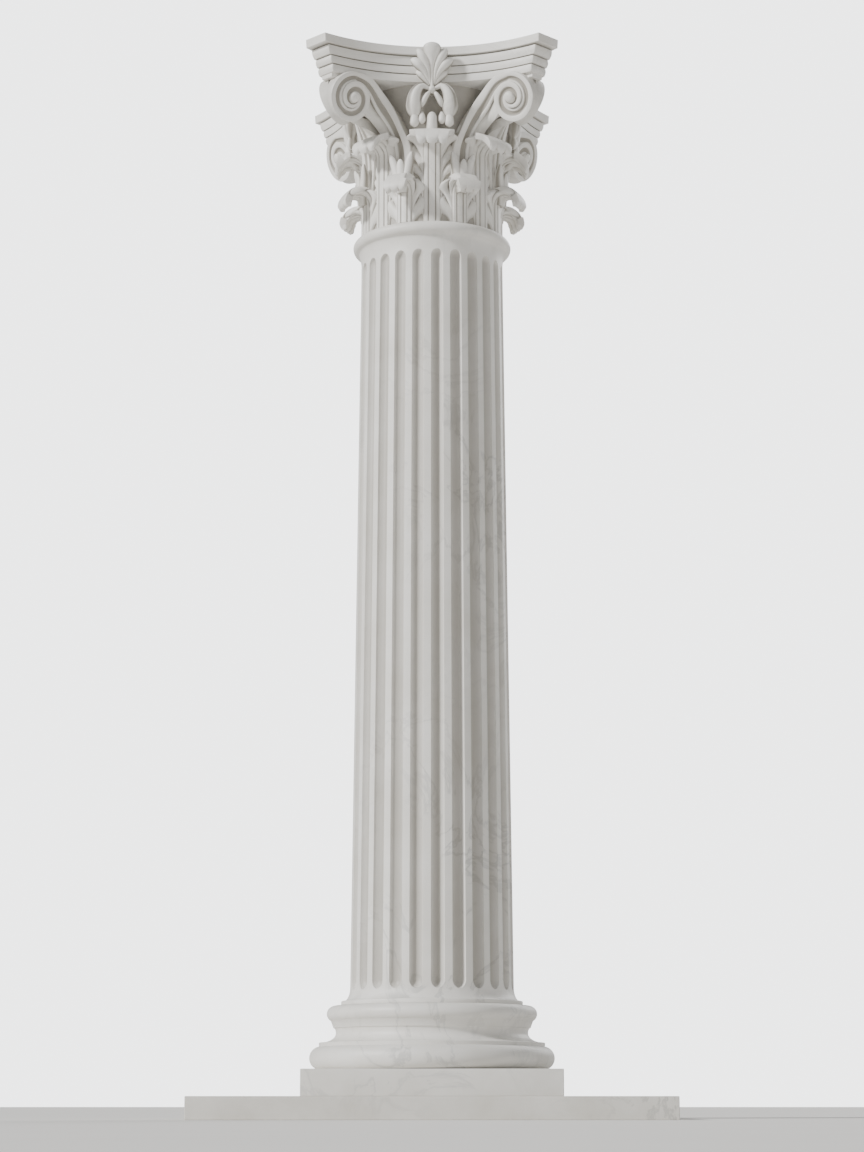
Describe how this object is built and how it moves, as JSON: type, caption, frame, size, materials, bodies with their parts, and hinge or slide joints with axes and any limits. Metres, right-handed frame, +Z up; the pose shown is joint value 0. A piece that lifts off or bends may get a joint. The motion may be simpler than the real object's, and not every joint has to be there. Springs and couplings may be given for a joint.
{
  "type": "roman column",
  "caption": "Freestanding fluted Corinthian column of marble, with a moulded round base, a leafy capital, a plinth and a square slab.",
  "frame": {"origin": "middle of the slab's underside, on the column's axis", "axes": "+Z up along the column's axis; the column's front faces -Y, square to one side of the abacus and of the slab"},
  "size_m": [1.68, 1.68, 4.0551],
  "materials": {
    "slab_marble": "honed",
    "base_marble": "honed",
    "shaft_marble": "honed",
    "capital_marble": "honed"
  },
  "bodies": {
    "root": {"slab": "slab_marble", "plinth": "base_marble", "base": "base_marble", "shaft": "shaft_marble", "capital": "capital_marble"}
  },
  "joints": []
}
